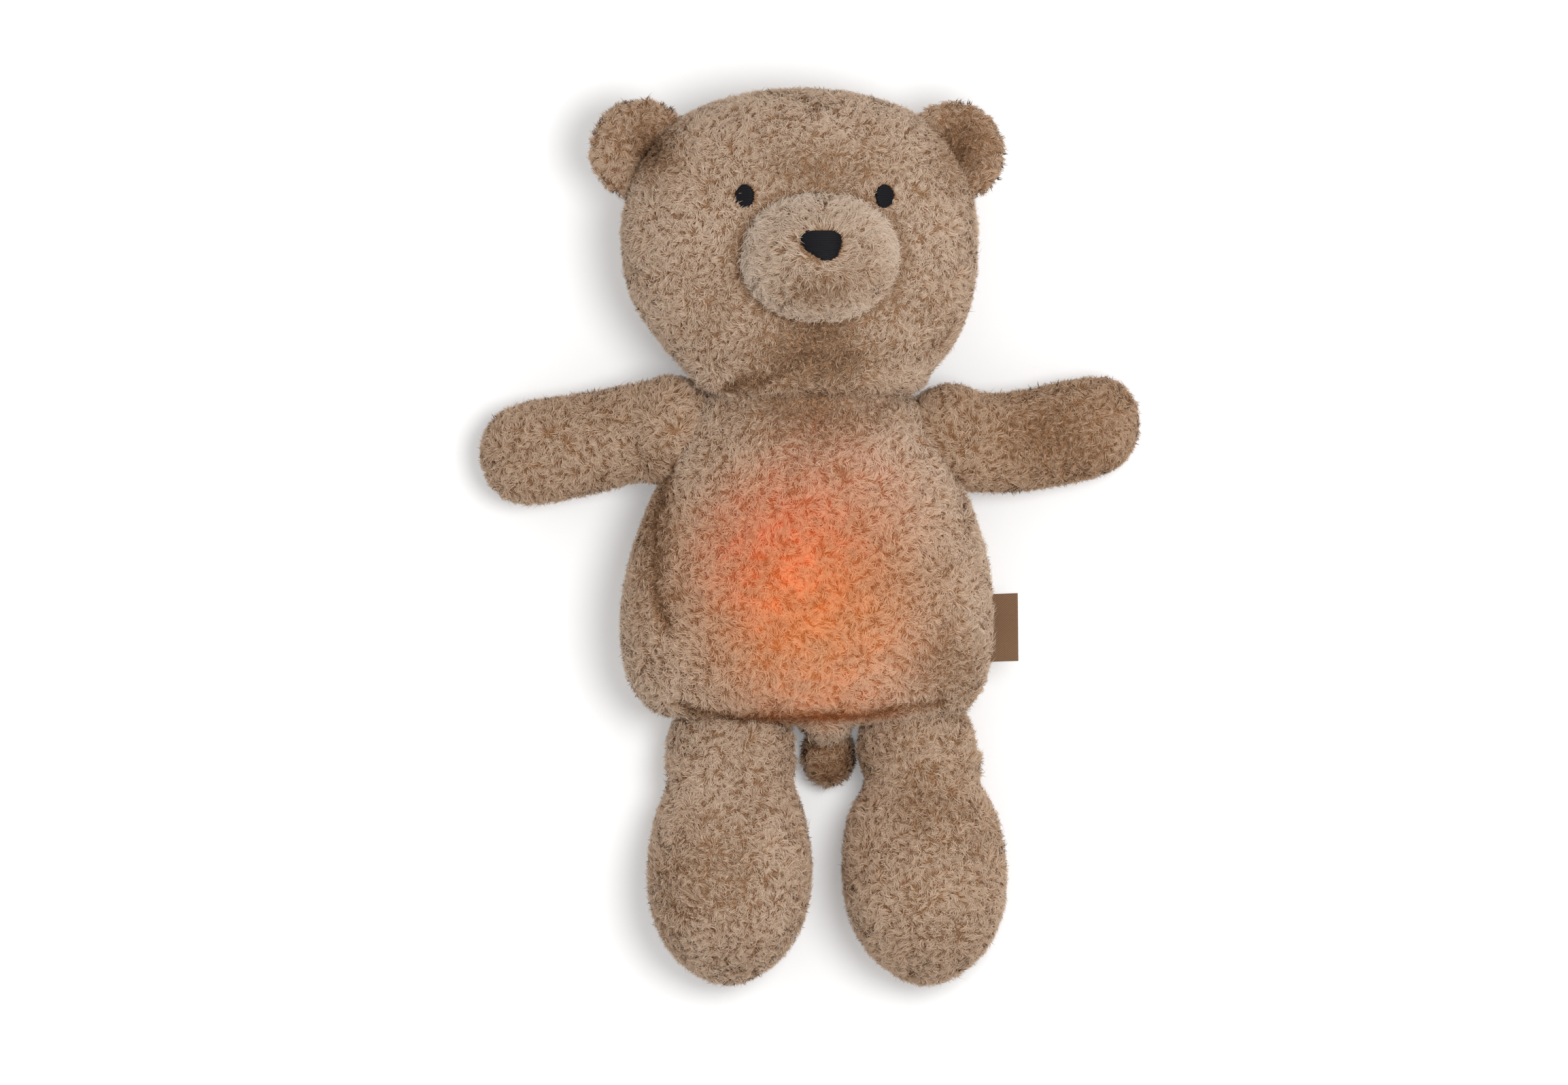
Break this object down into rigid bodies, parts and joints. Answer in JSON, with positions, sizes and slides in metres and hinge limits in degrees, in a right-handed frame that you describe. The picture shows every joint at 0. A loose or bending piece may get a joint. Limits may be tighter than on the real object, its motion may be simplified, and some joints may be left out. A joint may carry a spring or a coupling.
{
  "type": "plush night light",
  "caption": "Stuffed bear lying on its back with jointed soft limbs and a battery press lamp in a belly pocket.",
  "frame": {"origin": "on the surface the toy lies on, under the middle of its outline", "axes": "+Z from the toy's back to its belly, +Y towards the head, +X to the viewer's right seen from the belly side"},
  "size_m": [0.2314, 0.315, 0.0974],
  "materials": {
    "plush": "curly short pile",
    "muzzle_plush": "longer pale pile",
    "embroidery": "satin stitch",
    "label_tape": "woven twill tape",
    "lining": "plain woven",
    "hook_and_loop": "hook-and-loop tape",
    "case_plastic": "fine matte moulding",
    "diffuser": "translucent milky",
    "board": "solder mask",
    "steel": "nickel plated",
    "battery": "plain sleeve",
    "switch_plastic": "moulded",
    "led_coral": "clear tinted",
    "led_orange": "clear tinted",
    "led_amber": "clear tinted"
  },
  "bodies": {
    "torso": {"body_plush": "plush", "tail": "plush", "side_label": "label_tape", "pocket_liner": "lining", "loop_strip": "hook_and_loop", "rear_shell": "case_plastic", "battery_door": "case_plastic", "door_screw": "steel", "battery_1": "battery", "battery_2": "battery", "battery_3": "battery", "battery_spring_1": "steel", "battery_spring_2": "steel", "battery_spring_3": "steel", "battery_contact_1": "steel", "battery_contact_2": "steel", "battery_contact_3": "steel", "circuit_board": "board", "led_coral": "led_coral", "led_orange": "led_orange", "led_amber": "led_amber", "power_switch": "switch_plastic", "cap_spring": "steel", "front_ring": "case_plastic", "ring_screw_1": "steel", "ring_screw_2": "steel", "ring_screw_3": "steel"},
    "head": {"head_plush": "plush", "muzzle": "muzzle_plush", "ear_left": "plush", "ear_right": "plush", "eye_left": "embroidery", "eye_right": "embroidery", "nose": "embroidery"},
    "left_arm": {"arm_left": "plush"},
    "right_arm": {"arm_right": "plush"},
    "left_leg": {"leg_left": "plush"},
    "right_leg": {"leg_right": "plush"},
    "flap": {"pocket_flap": "plush", "hook_strip": "hook_and_loop"},
    "press_cap": {"light_cap": "diffuser", "switch_plunger": "case_plastic"}
  },
  "joints": [
    {"name": "neck_nod", "type": "hinge", "parent": "torso", "child": "head", "pos_m": [0, 0.0465, 0.028], "axis": [1, 0, 0], "range_deg": [0, 15]},
    {"name": "left_shoulder_fold", "type": "hinge", "parent": "torso", "child": "left_arm", "pos_m": [-0.0491, 0.0375, 0.028], "axis": [0, 1, 0], "range_deg": [0, 60]},
    {"name": "right_shoulder_fold", "type": "hinge", "parent": "torso", "child": "right_arm", "pos_m": [0.0491, 0.0375, 0.028], "axis": [0, -1, 0], "range_deg": [0, 60]},
    {"name": "left_hip_fold", "type": "hinge", "parent": "torso", "child": "left_leg", "pos_m": [-0.028, -0.0745, 0.0195], "axis": [-1, 0, 0], "range_deg": [0, 60]},
    {"name": "right_hip_fold", "type": "hinge", "parent": "torso", "child": "right_leg", "pos_m": [0.0395, -0.0745, 0.0195], "axis": [-1, 0, 0], "range_deg": [0, 60]},
    {"name": "flap_open", "type": "hinge", "parent": "torso", "child": "flap", "pos_m": [0, 0.00447, 0.0004], "axis": [1, 0, 0], "range_deg": [0, 100]},
    {"name": "cap_press", "type": "slide", "parent": "torso", "child": "press_cap", "axis": [0, 0, -1], "range_m": [0, 0.001], "stiffness_N_per_m": 900, "springref_m": -0.002, "deforming": ["cap_spring"]}
  ]
}
